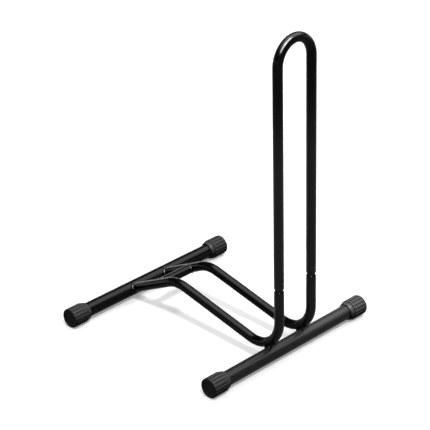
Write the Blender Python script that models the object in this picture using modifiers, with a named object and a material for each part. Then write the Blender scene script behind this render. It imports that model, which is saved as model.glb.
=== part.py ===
"""Bike display stand: two cross tubes on ribbed end caps, two bent rails, a wheel stop and a lift-off hoop.

Metres, +Z up. The stand faces +X: the rear cross tube is at -X and the hoop stands at +X. Left is +Y.
The origin is on the floor, under the middle of the stand's length and width.
"""

import math

import bmesh
import bpy
from mathutils import Matrix, Vector

# Overall sizes
WHEELBASE = 0.440
OVERALL_WIDTH = 0.490
OVERALL_HEIGHT = 0.760
WHEEL_SLOT = 0.080

# Tubes
RAIL_OD = 0.022
RAIL_WALL = 0.002
HOOP_WALL = 0.0023
CROSS_OD = 0.0334
CROSS_WALL = 0.002
STOP_BAR_OD = 0.022
STOP_BAR_WALL = 0.002

# Rails, seen from the side: crest corner, then the J bend that turns up into the upright
CREST_AHEAD_OF_REAR = 0.1505
CREST_ABOVE_CROSS_TUBE = 0.074
CREST_BEND = 0.078
FOOT_BEND = 0.070
UPRIGHT_AHEAD_OF_FRONT = 0.025

# Wheel stop
STOP_BAR_AHEAD_OF_REAR = 0.095
STOP_BAR_TIP_TRIM = 0.004

# Plug-in joint at the top of each upright
SEAT_HEIGHT = 0.1923
NECK_OD = 0.0178
NECK_LENGTH = 0.0026
NECK_EDGE = 0.0001
SWAGE_LENGTH = 0.0046
SPIGOT_LENGTH = 0.050
SPIGOT_WALL = 0.0029
SPIGOT_CLEARANCE = 0.0002
SPIGOT_TIP_CHAMFER = 0.0015
SPIGOT_FLAT_DEPTH = 0.0020
ROLL_MARK_BELOW_SEAT = 0.0103
ROLL_MARK_WIDTH = 0.005
ROLL_MARK_FLOOR = 0.0017
ROLL_MARK_DEPTH = 0.00025
LEG_END_INSET = 0.0019
LEG_END_HEIGHT = 0.0032

# Set screw of the joint
SCREW_ABOVE_SEAT = 0.0195
SCREW_DIAMETER = 0.006
SCREW_LENGTH = 0.003
SCREW_SOCKET = 0.003
SCREW_SOCKET_DEPTH = 0.002
SCREW_POINT_CHAMFER = 0.0005
COUNTERSINK_DIAMETER = 0.010

# End caps
CAP_RADIUS = 0.023
CAP_LENGTH = 0.0505
CAP_FLOOR = 0.005
CAP_EDGE_ROUND = 0.0025
CAP_RIM = 0.004
CAP_DISH = 0.0012
CAP_BARREL_END = 0.0395
CAP_GROOVE_WIDTH = 0.0015
CAP_GROOVE_RADIUS = 0.0206
CAP_COLLAR_RADIUS = 0.0213
CAP_MOUTH_RADIUS = 0.0190
CAP_MOUTH_EDGE = 0.0005
CAP_MOUTH_GAP = 0.0012
CAP_MOUTH_DEPTH = 0.0025
RIB_COUNT = 16
FLUTE_DEPTH = 0.0008
FLUTE_RADIUS = 0.0034

# Welds
BEAD = 0.003
STOP_BAR_BEAD = 0.0025

# Clearance between pieces that touch, and how far a cutter runs past what it cuts
GAP = 0.0003
PAST = 0.010

# Facets
RAIL_SIDES = 20
BORE_SIDES = 12
SCREW_SIDES = 24
CROSS_SIDES = 32
FLUTE_SIDES = 12
COLLAR_STEPS = 3
EDGE_STEPS = 3
SWAGE_STEPS = 4
LEG_END_STEPS = 2
ARC_STEP = math.radians(9)
CREASE = math.radians(30)
MERGE = 0.00001

# Places that follow from the sizes
FRONT_X = (WHEELBASE + CAP_RADIUS - UPRIGHT_AHEAD_OF_FRONT - RAIL_OD / 2) / 2
REAR_X = FRONT_X - WHEELBASE
UPRIGHT_X = FRONT_X + UPRIGHT_AHEAD_OF_FRONT
CROSS_Z = CAP_RADIUS
HALF_SPACING = (WHEEL_SLOT + RAIL_OD) / 2
SIDES = {"left": 1, "right": -1}
SPIGOT_OD = RAIL_OD - 2 * HOOP_WALL - 2 * SPIGOT_CLEARANCE
SPIGOT_TOP = SEAT_HEIGHT + SPIGOT_LENGTH
SCREW_Z = SEAT_HEIGHT + SCREW_ABOVE_SEAT
FLAT_FROM_AXIS = SPIGOT_OD / 2 - SPIGOT_FLAT_DEPTH
CAP_SIDES = 2 * RIB_COUNT
CROSS_LENGTH = OVERALL_WIDTH - 2 * (CAP_FLOOR + GAP)


def clear_scene():
    for leftover in list(bpy.data.objects):
        bpy.data.objects.remove(leftover, do_unlink=True)


def new_collection(name):
    collection = bpy.data.collections.new(name)
    bpy.context.scene.collection.children.link(collection)
    return collection


def black_paint(name):
    """Semi-gloss black powder coat on steel."""
    return finish(name, (0.022, 0.022, 0.023, 1.0), 0.36, 0.0)


def black_plastic(name):
    """Satin black moulded plastic."""
    return finish(name, (0.032, 0.032, 0.033, 1.0), 0.52, 0.0)


def blackened_steel(name):
    """Black oxide on a small steel screw."""
    return finish(name, (0.035, 0.034, 0.033, 1.0), 0.42, 0.9)


def finish(name, colour, roughness, metallic):
    material = bpy.data.materials.new(name)
    material.use_nodes = True
    shader = material.node_tree.nodes["Principled BSDF"]
    shader.inputs["Base Color"].default_value = colour
    shader.inputs["Roughness"].default_value = roughness
    shader.inputs["Metallic"].default_value = metallic
    material.diffuse_color = colour
    return material


def part_object(name, mesh, material):
    """A finished sub-part, with its own material, in the stand's collection."""
    part = bpy.data.objects.new(name, mesh)
    part.data.materials.append(material)
    STAND.objects.link(part)
    return part


def cutter_object(name, mesh):
    """A helper that only cuts others: drawn as wire and left out of renders."""
    cutter = bpy.data.objects.new(name, mesh)
    cutter.hide_render = True
    cutter.display_type = "WIRE"
    CUTTERS.objects.link(cutter)
    return cutter


def boolean(target, other, operation):
    """Adds a Boolean; the solver stays at EXACT, the default."""
    step = target.modifiers.new(operation.lower() + "_" + other.name, "BOOLEAN")
    step.operation = operation
    step.object = other


def arc(centre, radius, start, end):
    """Points round an arc in the XZ plane, both ends included."""
    steps = max(2, math.ceil(abs(end - start) / ARC_STEP))
    angles = [start + (end - start) * step / steps for step in range(steps + 1)]
    return [Vector((centre.x + radius * math.cos(a), 0, centre.z + radius * math.sin(a))) for a in angles]


def swept_mesh(name, stations, sides):
    """A closed round sweep: stations are (point, radius) pairs along its centreline."""
    curve = bpy.data.curves.new(name, "CURVE")
    curve.dimensions = "3D"
    curve.twist_mode = "MINIMUM"
    curve.bevel_depth = 1.0
    curve.bevel_resolution = sides // 2 - 2
    curve.use_fill_caps = True
    spline = curve.splines.new("POLY")
    spline.points.add(len(stations) - 1)
    for point, (place, radius) in zip(spline.points, stations):
        point.co = (*place, 1)
        point.radius = radius
    guide = bpy.data.objects.new(name, curve)
    bpy.context.scene.collection.objects.link(guide)
    bpy.context.view_layer.update()
    graph = bpy.context.evaluated_depsgraph_get()
    mesh = bpy.data.meshes.new_from_object(guide.evaluated_get(graph))
    bpy.data.objects.remove(guide, do_unlink=True)
    bpy.data.curves.remove(curve)
    return tidy(mesh, name)


def tidy(mesh, name):
    """Welds loose caps, turns the faces out and shades round stretches smooth."""
    mesh.name = name
    mesh.materials.clear()
    work = bmesh.new()
    work.from_mesh(mesh)
    bmesh.ops.remove_doubles(work, verts=work.verts, dist=MERGE)
    bmesh.ops.recalc_face_normals(work, faces=work.faces)
    work.to_mesh(mesh)
    work.free()
    mesh.shade_smooth()
    mesh.set_sharp_from_angle(angle=CREASE)
    return mesh


def rod_mesh(name, radius, length, sides, matrix):
    """A cylinder whose axis is local Z, centred on its middle, placed by a matrix."""
    work = bmesh.new()
    bmesh.ops.create_cone(
        work, cap_ends=True, segments=sides, radius1=radius, radius2=radius, depth=length, matrix=matrix
    )
    mesh = bpy.data.meshes.new(name)
    work.to_mesh(mesh)
    work.free()
    return tidy(mesh, name)


def along_y(x, y, z):
    """Lays a rod along Y, centred on a point."""
    return Matrix.Translation((x, y, z)) @ Matrix.Rotation(math.pi / 2, 4, "X")


# Rails: the centreline, drawn in the XZ plane


def foot_centre():
    """Centre of the J bend, whose outer side lies on the front cross tube."""
    reach = FOOT_BEND + RAIL_OD / 2 + CROSS_OD / 2 + GAP
    behind = FOOT_BEND - UPRIGHT_AHEAD_OF_FRONT
    return Vector((UPRIGHT_X - FOOT_BEND, 0, CROSS_Z + math.sqrt(reach**2 - behind**2)))


def rail_line():
    """(start, crest bend points, foot bend points) of a rail's centreline, without the straight upright."""
    start = Vector((REAR_X, 0, CROSS_Z))
    corner = Vector((REAR_X + CREST_AHEAD_OF_REAR, 0, CROSS_Z + CREST_ABOVE_CROSS_TUBE))
    foot = foot_centre()
    rise = math.atan2(corner.z - start.z, corner.x - start.x)
    to_foot = foot - corner
    fall = math.atan2(to_foot.z, to_foot.x) - math.asin(FOOT_BEND / to_foot.length)
    half_turn = (rise - fall) / 2
    inward = Vector((math.cos(rise - half_turn - math.pi / 2), 0, math.sin(rise - half_turn - math.pi / 2)))
    crest = corner + inward * (CREST_BEND / math.cos(half_turn))
    over = arc(crest, CREST_BEND, rise + math.pi / 2, fall + math.pi / 2)
    turn_up = arc(foot, FOOT_BEND, fall - math.pi / 2, 0)
    return start, over, turn_up


def stop_bar_place():
    """Where the wheel stop's axis crosses the rails' centreline, on the straight rise."""
    rise = CREST_ABOVE_CROSS_TUBE / CREST_AHEAD_OF_REAR
    return Vector((REAR_X + STOP_BAR_AHEAD_OF_REAR, 0, CROSS_Z + STOP_BAR_AHEAD_OF_REAR * rise))


def swage(height, low, high, low_radius, high_radius):
    """Radius on the smooth S curve between two radii."""
    share = (height - low) / (high - low)
    eased = share * share * (3 - 2 * share)
    return low_radius + (high_radius - low_radius) * eased


def rail_stations(offset_y):
    """The rail's outer surface: full tube, rolled mark, swaged neck, seat and spigot."""
    full = RAIL_OD / 2
    neck_low = SEAT_HEIGHT - NECK_LENGTH
    swage_low = neck_low - SWAGE_LENGTH
    mark = SEAT_HEIGHT - ROLL_MARK_BELOW_SEAT
    start, over, turn_up = rail_line()
    stations = [(point, full) for point in [start] + over + turn_up]
    upright = [
        (mark - ROLL_MARK_WIDTH / 2, full),
        (mark - ROLL_MARK_FLOOR / 2, full - ROLL_MARK_DEPTH),
        (mark + ROLL_MARK_FLOOR / 2, full - ROLL_MARK_DEPTH),
        (mark + ROLL_MARK_WIDTH / 2, full),
    ]
    for step in range(SWAGE_STEPS + 1):
        height = swage_low + step / SWAGE_STEPS * SWAGE_LENGTH
        upright.append((height, swage(height, swage_low, neck_low, full, NECK_OD / 2)))
    upright += [
        (SEAT_HEIGHT - NECK_EDGE, NECK_OD / 2),
        (SEAT_HEIGHT, SPIGOT_OD / 2),
        (SPIGOT_TOP - SPIGOT_TIP_CHAMFER, SPIGOT_OD / 2),
        (SPIGOT_TOP, SPIGOT_OD / 2 - SPIGOT_TIP_CHAMFER / 2),
    ]
    stations += [(Vector((UPRIGHT_X, 0, height)), radius) for height, radius in upright]
    return moved(stations, offset_y)


def rail_bore_stations(offset_y):
    """The rail's bore, which narrows with the swage and runs out of both ends."""
    full = RAIL_OD / 2 - RAIL_WALL
    narrow = SPIGOT_OD / 2 - SPIGOT_WALL
    neck_low = SEAT_HEIGHT - NECK_LENGTH
    swage_low = neck_low - SWAGE_LENGTH
    start, over, turn_up = rail_line()
    stations = [(point, full) for point in [start] + over + turn_up]
    for height, radius in ((swage_low, full), (neck_low, narrow), (SPIGOT_TOP + PAST, narrow)):
        stations.append((Vector((UPRIGHT_X, 0, height)), radius))
    return moved(stations, offset_y)


def rail_envelope_stations(offset_y, extra):
    """The rail's full-diameter stretch, grown by a margin; it shapes cuts and welds against the rail."""
    start, over, turn_up = rail_line()
    top = Vector((UPRIGHT_X, 0, SEAT_HEIGHT - ROLL_MARK_BELOW_SEAT - ROLL_MARK_WIDTH))
    return moved([(point, RAIL_OD / 2 + extra) for point in [start] + over + turn_up + [top]], offset_y)


def moved(stations, offset_y):
    return [(Vector((point.x, offset_y, point.z)), radius) for point, radius in stations]


def make_rail(side):
    y = SIDES[side] * HALF_SPACING
    name = side + "_rail"
    rail = part_object(name, swept_mesh(name, rail_stations(y), RAIL_SIDES), black_paint(name + "_paint"))
    bore = cutter_object(name + "_bore", swept_mesh(name + "_bore", rail_bore_stations(y), BORE_SIDES))
    boolean(rail, bore, "DIFFERENCE")
    boolean(rail, SKINS["rear_cross_tube"], "DIFFERENCE")
    boolean(rail, spigot_flat_cutter(side, y), "DIFFERENCE")
    return rail


def spigot_flat_cutter(side, y):
    """A block that takes the flat off the spigot's front, from below the screw up to the tip."""
    low = SCREW_Z - COUNTERSINK_DIAMETER / 2
    high = SPIGOT_TOP + PAST
    size = Vector((PAST, RAIL_OD, high - low))
    work = bmesh.new()
    place = Vector((UPRIGHT_X + FLAT_FROM_AXIS + size.x / 2, y, (low + high) / 2))
    bmesh.ops.create_cube(work, size=1, matrix=Matrix.Translation(place) @ Matrix.Diagonal((*size, 1)))
    mesh = bpy.data.meshes.new(side + "_spigot_flat")
    work.to_mesh(mesh)
    work.free()
    return cutter_object(side + "_spigot_flat", mesh)


# Cross tubes and the wheel stop


def make_cross_tube(name, x):
    place = along_y(x, 0, CROSS_Z)
    tube = part_object(
        name, rod_mesh(name, CROSS_OD / 2, CROSS_LENGTH, CROSS_SIDES, place), black_paint(name + "_paint")
    )
    bore_length = CROSS_LENGTH + 2 * PAST
    bore = rod_mesh(name + "_bore", CROSS_OD / 2 - CROSS_WALL, bore_length, CROSS_SIDES, place)
    boolean(tube, cutter_object(name + "_bore", bore), "DIFFERENCE")
    return tube


def make_stop_bar():
    """A short tube, coped at both ends to the rails, with the thin tips of the cope trimmed off."""
    name = "wheel_stop_bar"
    place = stop_bar_place()
    length = 2 * (HALF_SPACING - STOP_BAR_TIP_TRIM)
    lay = along_y(place.x, 0, place.z)
    bar = part_object(
        name, rod_mesh(name, STOP_BAR_OD / 2, length, RAIL_SIDES, lay), black_paint(name + "_paint")
    )
    bore = rod_mesh(name + "_bore", STOP_BAR_OD / 2 - STOP_BAR_WALL, length + 2 * PAST, BORE_SIDES, lay)
    boolean(bar, cutter_object(name + "_bore", bore), "DIFFERENCE")
    for side in SIDES:
        boolean(bar, SKINS[side + "_rail"], "DIFFERENCE")
    return bar


# Hoop and its screws


def leg_outside():
    """(height, radius) up a leg's lower end, which is rounded in towards the spigot."""
    leg = []
    for step in range(LEG_END_STEPS + 1):
        turn = math.pi / 2 * step / LEG_END_STEPS
        height = SEAT_HEIGHT + GAP + LEG_END_HEIGHT * (1 - math.cos(turn))
        leg.append((height, RAIL_OD / 2 - LEG_END_INSET * (1 - math.sin(turn))))
    return leg


def hoop_stations(leg, radius):
    """Up one leg, round the half circle and down the other, as (point, radius) pairs in the YZ plane."""
    shoulder = OVERALL_HEIGHT - RAIL_OD / 2 - HALF_SPACING
    steps = math.ceil(math.pi / ARC_STEP)
    stations = [(Vector((UPRIGHT_X, -HALF_SPACING, z)), r) for z, r in leg]
    for step in range(steps + 1):
        turn = math.pi - math.pi * step / steps
        y = HALF_SPACING * math.cos(turn)
        z = shoulder + HALF_SPACING * math.sin(turn)
        stations.append((Vector((UPRIGHT_X, y, z)), radius))
    stations += [(Vector((UPRIGHT_X, HALF_SPACING, z)), r) for z, r in reversed(leg)]
    return stations


def make_hoop():
    name = "hoop"
    bore = RAIL_OD / 2 - HOOP_WALL
    outside = hoop_stations(leg_outside(), RAIL_OD / 2)
    inside = hoop_stations([(SEAT_HEIGHT - PAST, bore)], bore)
    hoop = part_object(name, swept_mesh(name, outside, RAIL_SIDES), black_paint(name + "_paint"))
    boolean(hoop, cutter_object(name + "_bore", swept_mesh(name + "_bore", inside, RAIL_SIDES)), "DIFFERENCE")
    for side, sign in SIDES.items():
        boolean(hoop, screw_hole_cutter(side, sign * HALF_SPACING), "DIFFERENCE")
    return hoop


def facing_x(y):
    """Turns local +Z to +X, with its zero on the leg's axis at the screw's height."""
    return Matrix.Translation((UPRIGHT_X, y, SCREW_Z)) @ Matrix.Rotation(math.pi / 2, 4, "Y")


def turned(name, profile, steps, home):
    """A turned shape: the profile's (radius, height) points, turned round the axis by a Screw modifier."""
    mesh = bpy.data.meshes.new(name)
    half = math.pi / steps
    flats = 1 / math.cos(half)
    points = [(r * flats * math.cos(half), r * flats * math.sin(half), h) for r, h in profile]
    mesh.from_pydata(points, [(i, i + 1) for i in range(len(points) - 1)], [])
    shape = home(name, mesh)
    spin = shape.modifiers.new("turn", "SCREW")
    spin.steps = steps
    spin.render_steps = steps
    spin.use_merge_vertices = True
    spin.merge_threshold = MERGE
    spin.use_smooth_shade = True
    return shape


def screw_hole_cutter(side, y):
    """The tapped hole and its countersink, cut from inside the leg's bore out past its surface."""
    hole = SCREW_DIAMETER / 2 + GAP
    surface = RAIL_OD / 2
    sink = COUNTERSINK_DIAMETER / 2
    depth = sink - hole
    profile = [
        (0, surface + PAST),
        (sink + PAST, surface + PAST),
        (hole, surface - depth),
        (hole, FLAT_FROM_AXIS),
        (0, FLAT_FROM_AXIS),
    ]
    cutter = turned(side + "_screw_hole", profile, SCREW_SIDES, cutter_object)
    cutter.matrix_world = facing_x(y)
    return cutter


def make_joint_screw(side):
    """A short socket set screw, whose point bears on the spigot's flat."""
    name = side + "_joint_screw"
    radius = SCREW_DIAMETER / 2
    point = FLAT_FROM_AXIS + GAP
    face = point + SCREW_LENGTH
    profile = [
        (0, face),
        (radius - SCREW_POINT_CHAMFER / 2, face),
        (radius, face - SCREW_POINT_CHAMFER / 2),
        (radius, point + SCREW_POINT_CHAMFER),
        (radius - SCREW_POINT_CHAMFER, point),
        (0, point),
    ]
    y = SIDES[side] * HALF_SPACING
    screw = turned(name, profile, SCREW_SIDES, lambda n, m: part_object(n, m, blackened_steel(n + "_steel")))
    screw.matrix_world = facing_x(y)
    across_corners = SCREW_SOCKET / math.cos(math.pi / 6)
    deep = SCREW_SOCKET_DEPTH + PAST
    place = facing_x(y) @ Matrix.Translation((0, 0, face - SCREW_SOCKET_DEPTH + deep / 2))
    socket = rod_mesh(name + "_socket", across_corners / 2, deep, 6, place)
    boolean(screw, cutter_object(name + "_socket", socket), "DIFFERENCE")
    return screw


# End caps


def cap_profile():
    """(radius, depth from the end face): up the bore, over the collar, down the barrel and into the dish."""
    bore = CROSS_OD / 2 + GAP
    mouth = CROSS_OD / 2 + CAP_MOUTH_GAP
    groove_far = CAP_BARREL_END + CAP_GROOVE_WIDTH
    profile = [
        (0, CAP_FLOOR),
        (bore, CAP_FLOOR),
        (bore, CAP_LENGTH - CAP_MOUTH_DEPTH - (mouth - bore)),
        (mouth, CAP_LENGTH - CAP_MOUTH_DEPTH),
        (mouth, CAP_LENGTH),
        (CAP_MOUTH_RADIUS - CAP_MOUTH_EDGE, CAP_LENGTH),
    ]
    collar = CAP_LENGTH - CAP_MOUTH_EDGE - groove_far
    drop = CAP_COLLAR_RADIUS - CAP_MOUTH_RADIUS
    crown = (collar**2 + drop**2) / (2 * drop)
    for step in range(COLLAR_STEPS, -1, -1):
        along = collar * step / COLLAR_STEPS
        profile.append((CAP_COLLAR_RADIUS - crown + math.sqrt(crown**2 - along**2), groove_far + along))
    profile += [
        (CAP_GROOVE_RADIUS, groove_far),
        (CAP_GROOVE_RADIUS, CAP_BARREL_END),
        (CAP_RADIUS, CAP_BARREL_END),
    ]
    for step in range(EDGE_STEPS + 1):
        turn = math.pi / 2 * step / EDGE_STEPS
        inset = CAP_EDGE_ROUND * (1 - math.cos(turn))
        profile.append((CAP_RADIUS - inset, CAP_EDGE_ROUND * (1 - math.sin(turn))))
    profile += [
        (CAP_RADIUS - CAP_EDGE_ROUND - CAP_RIM / 2, 0),
        (CAP_RADIUS - CAP_EDGE_ROUND - CAP_RIM / 2 - CAP_DISH, CAP_DISH),
        (0, CAP_DISH),
    ]
    return profile


def cap_matrix(x, sign):
    """Depth runs inwards from the end face; a rib lies straight down."""
    return Matrix.Translation((x, sign * OVERALL_WIDTH / 2, CROSS_Z)) @ Matrix.Rotation(sign * math.pi / 2, 4, "X")


def make_cap(name, x, sign):
    cap = turned(name, cap_profile(), CAP_SIDES, lambda n, m: part_object(n, m, black_plastic(n + "_plastic")))
    cap.matrix_world = cap_matrix(x, sign)
    boolean(cap, flute_cutter(name + "_flutes", x, sign), "DIFFERENCE")
    return cap


def flute_cutter(name, x, sign):
    """One rod for each flute, set between the ribs all round the barrel."""
    work = bmesh.new()
    length = CAP_BARREL_END + CAP_GROOVE_WIDTH / 2 + PAST
    out = CAP_RADIUS - FLUTE_DEPTH + FLUTE_RADIUS
    for rib in range(RIB_COUNT):
        turn = 2 * math.pi * (rib + 0.5) / RIB_COUNT + math.pi / 2
        place = Matrix.Rotation(turn, 4, "Z") @ Matrix.Translation((out, 0, length / 2 - PAST))
        bmesh.ops.create_cone(
            work, cap_ends=True, segments=FLUTE_SIDES, radius1=FLUTE_RADIUS, radius2=FLUTE_RADIUS, depth=length, matrix=place
        )
    mesh = bpy.data.meshes.new(name)
    work.to_mesh(mesh)
    work.free()
    cutter = cutter_object(name, mesh)
    cutter.matrix_world = cap_matrix(x, sign)
    return cutter


# Welds: what lies within a bead's reach of both pieces and outside both


def make_weld(name, core, envelope, skins):
    weld = part_object(name, core, black_paint(name + "_paint"))
    boolean(weld, envelope, "INTERSECT")
    for skin in skins:
        boolean(weld, skin, "DIFFERENCE")
    return weld


def make_cross_tube_weld(name, side, tube, x):
    reach = RAIL_OD / 2 + 2 * BEAD
    core = rod_mesh(
        name, CROSS_OD / 2 + BEAD, 2 * reach, CROSS_SIDES, along_y(x, SIDES[side] * HALF_SPACING, CROSS_Z)
    )
    return make_weld(name, core, BEADS[side + "_rail"], [SKINS[tube], SKINS[side + "_rail"]])


def make_stop_bar_weld(side):
    name = "weld_" + side + "_stop_bar"
    place = stop_bar_place()
    inner = HALF_SPACING - RAIL_OD / 2 - 2 * STOP_BAR_BEAD
    outer = HALF_SPACING
    core = rod_mesh(
        name,
        STOP_BAR_OD / 2 + STOP_BAR_BEAD,
        outer - inner,
        RAIL_SIDES,
        along_y(place.x, SIDES[side] * (inner + outer) / 2, place.z),
    )
    return make_weld(name, core, SMALL_BEADS[side + "_rail"], [SKINS["wheel_stop_bar"], SKINS[side + "_rail"]])


def make_envelopes():
    """Cutters that follow each tube: its skin a gap outside it, and the reach of a weld bead."""
    for side, sign in SIDES.items():
        y = sign * HALF_SPACING
        for label, store, extra in (
            ("skin", SKINS, GAP),
            ("bead", BEADS, BEAD),
            ("small_bead", SMALL_BEADS, STOP_BAR_BEAD),
        ):
            name = side + "_rail_" + label
            mesh = swept_mesh(name, rail_envelope_stations(y, extra), RAIL_SIDES)
            store[side + "_rail"] = cutter_object(name, mesh)
    for tube, x in CROSS_TUBES.items():
        mesh = rod_mesh(tube + "_skin", CROSS_OD / 2 + GAP, CROSS_LENGTH, CROSS_SIDES, along_y(x, 0, CROSS_Z))
        SKINS[tube] = cutter_object(tube + "_skin", mesh)
    place = stop_bar_place()
    length = 2 * (HALF_SPACING - STOP_BAR_TIP_TRIM + GAP)
    mesh = rod_mesh("stop_bar_skin", STOP_BAR_OD / 2 + GAP, length, RAIL_SIDES, along_y(place.x, 0, place.z))
    SKINS["wheel_stop_bar"] = cutter_object("stop_bar_skin", mesh)


clear_scene()
STAND = new_collection("bike_display_stand")
CUTTERS = new_collection("cutters")
CROSS_TUBES = {"front_cross_tube": FRONT_X, "rear_cross_tube": REAR_X}
SKINS, BEADS, SMALL_BEADS = {}, {}, {}
make_envelopes()

for tube_name, tube_x in CROSS_TUBES.items():
    make_cross_tube(tube_name, tube_x)
    end = tube_name.split("_")[0]
    for side_name, side_sign in SIDES.items():
        make_cap(end + "_" + side_name + "_cap", tube_x, side_sign)
        make_cross_tube_weld("weld_" + side_name + "_rail_" + end, side_name, tube_name, tube_x)

for side_name in SIDES:
    make_rail(side_name)
make_stop_bar()
for side_name in SIDES:
    make_stop_bar_weld(side_name)

# The hoop and its screws lift straight up off the spigots, so they hang on one guide at the seats' height.
lift = bpy.data.objects.new("hoop_lift", None)
lift.location = (UPRIGHT_X, 0, SEAT_HEIGHT)
STAND.objects.link(lift)
bpy.context.view_layer.update()
for lifted in [make_hoop()] + [make_joint_screw(side_name) for side_name in SIDES]:
    bpy.context.view_layer.update()
    lifted.parent = lift
    lifted.matrix_parent_inverse = lift.matrix_world.inverted()
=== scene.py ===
"""Bike display stand: its painted tubes, welds, plastic caps and set screws, in a small plain studio.

Metres, +Z up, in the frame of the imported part: +X runs from the low rear tube to the tall hoop, left is +Y.
"""
import math

import bmesh
import bpy
from mathutils import Matrix, Vector


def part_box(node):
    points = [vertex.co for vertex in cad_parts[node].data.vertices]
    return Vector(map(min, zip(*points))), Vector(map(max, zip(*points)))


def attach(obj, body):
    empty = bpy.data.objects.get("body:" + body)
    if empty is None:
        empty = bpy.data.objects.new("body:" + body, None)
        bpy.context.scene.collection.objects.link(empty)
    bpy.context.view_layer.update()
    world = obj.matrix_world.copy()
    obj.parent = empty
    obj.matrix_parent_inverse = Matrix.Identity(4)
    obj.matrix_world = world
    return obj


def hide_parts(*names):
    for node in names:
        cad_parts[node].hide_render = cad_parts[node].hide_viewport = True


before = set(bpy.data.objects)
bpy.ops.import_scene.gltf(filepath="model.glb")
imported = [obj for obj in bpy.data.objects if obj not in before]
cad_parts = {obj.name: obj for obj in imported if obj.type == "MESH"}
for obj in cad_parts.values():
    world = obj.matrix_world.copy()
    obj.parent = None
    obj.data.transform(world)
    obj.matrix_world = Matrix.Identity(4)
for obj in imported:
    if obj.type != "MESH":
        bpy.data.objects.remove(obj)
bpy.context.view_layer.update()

# Cross tubes
# Two straight steel tubes that lie across the stand, front and rear. They are sawn square, welded under
# the rails and powder coated in semi-gloss black with them; their ends are hidden in the caps.
front_low, front_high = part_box("front_cross_tube")
CROSS_RADIUS = (front_high.z - front_low.z) / 2
CROSS_AXIS_Z = (front_high.z + front_low.z) / 2
FRONT_AXIS_X = (front_high.x + front_low.x) / 2
REAR_AXIS_X = sum(corner.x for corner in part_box("rear_cross_tube")) / 2
CROSS_WALL = 0.002
CAP_MOUTH_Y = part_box("front_left_cap")[0].y
SAWN_EDGE = 0.0004
TUBE_SIDES = 96
TUBE_CREASE = 35
AXIS_X, AXIS_Y, AXIS_Z = Vector((1, 0, 0)), Vector((0, 1, 0)), Vector((0, 0, 1))


def turns_round(count):
    """The angles of a number of even steps round a circle."""
    return [2 * math.pi * step / count for step in range(count)]


def rings_along(work, line, across, sides):
    """One ring of vertices at each (centre, radius) pair of a line drawn in a plane square to across."""
    rings = []
    for index, (centre, radius) in enumerate(line):
        behind = line[max(index - 1, 0)][0]
        ahead = line[min(index + 1, len(line) - 1)][0]
        up = across.cross(ahead - behind).normalized()
        rings.append([
            work.verts.new(centre + radius * (math.cos(turn) * across + math.sin(turn) * up))
            for turn in turns_round(sides)
        ])
    return rings


def join_rings(work, rings):
    """Faces between neighbouring rings of equal size."""
    for here, there in zip(rings, rings[1:]):
        for step in range(len(here)):
            after = (step + 1) % len(here)
            work.faces.new((here[step], here[after], there[after], there[step]))


def finished_mesh(name, work, crease=TUBE_CREASE):
    """Turns the faces out, shades the round stretches smooth and keeps edges above crease degrees."""
    bmesh.ops.recalc_face_normals(work, faces=work.faces)
    mesh = bpy.data.meshes.new(name)
    work.to_mesh(mesh)
    work.free()
    mesh.shade_smooth()
    mesh.set_sharp_from_angle(angle=math.radians(crease))
    return mesh


def piece(name, mesh, material):
    """A finished piece in the scene, still to be put on its body."""
    made = bpy.data.objects.new(name, mesh)
    made.data.materials.append(material)
    bpy.context.scene.collection.objects.link(made)
    return made


def cross_tube_mesh(name, x):
    """The tube's outside from end to end and back through its bore, with the saw's burr taken off."""
    half = front_high.y
    ends = [(-half, SAWN_EDGE), (SAWN_EDGE - half, 0), (half - SAWN_EDGE, 0), (half, SAWN_EDGE)]
    outside = [(Vector((x, y, CROSS_AXIS_Z)), CROSS_RADIUS - cut) for y, cut in ends]
    inside = [(Vector((x, y, CROSS_AXIS_Z)), CROSS_RADIUS - CROSS_WALL + cut) for y, cut in ends]
    work = bmesh.new()
    outer = rings_along(work, outside, AXIS_X, TUBE_SIDES)
    inner = rings_along(work, inside, AXIS_X, TUBE_SIDES)
    join_rings(work, outer + inner[::-1] + outer[:1])
    return finished_mesh(name, work)


def set_inputs(tree, made, inputs):
    """Gives a node's inputs their values, or links them to the sockets that are given."""
    for key, value in inputs.items():
        if isinstance(value, bpy.types.NodeSocket):
            tree.links.new(value, made.inputs[key])
        else:
            made.inputs[key].default_value = value


def node(tree, kind, place, inputs=None, **settings):
    """A node of a kind at a place, with its properties and its inputs set."""
    made = tree.nodes.new(kind)
    made.location = place
    for key, value in settings.items():
        setattr(made, key, value)
    set_inputs(tree, made, inputs or {})
    return made


def ramp(tree, place, value, start, end, easing="SMOOTHSTEP"):
    """A value graded from start to end, each of them (what comes in, what goes out), and level beyond."""
    graded = node(tree, "ShaderNodeMapRange", place, {
        "Value": value,
        "From Min": start[0],
        "From Max": end[0],
        "To Min": start[1],
        "To Max": end[1],
    }, interpolation_type=easing)
    return graded.outputs["Result"]


def combined(tree, place, operation, first, second):
    """What an operation on two values comes to."""
    return node(tree, "ShaderNodeMath", place, {0: first, 1: second}, operation=operation).outputs["Value"]


def combined_vectors(tree, place, operation, *vectors, result="Vector"):
    """What an operation on one or two vectors comes to."""
    inputs = dict(enumerate(vectors))
    return node(tree, "ShaderNodeVectorMath", place, inputs, operation=operation).outputs[result]


def length_along(tree, place, position, direction):
    """How far a position lies along a direction."""
    return combined_vectors(tree, place, "DOT_PRODUCT", position, direction, result="Value")


def height_part(tree, place, vector):
    """The upward part of a vector."""
    return node(tree, "ShaderNodeSeparateXYZ", place, {"Vector": vector}).outputs["Z"]


def noise(tree, place, position, scale, detail, roughness=0.5):
    """Cloudy noise with a number of lumps per metre."""
    inputs = {"Vector": position, "Scale": scale, "Detail": detail, "Roughness": roughness}
    return node(tree, "ShaderNodeTexNoise", place, inputs).outputs["Fac"]


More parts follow.
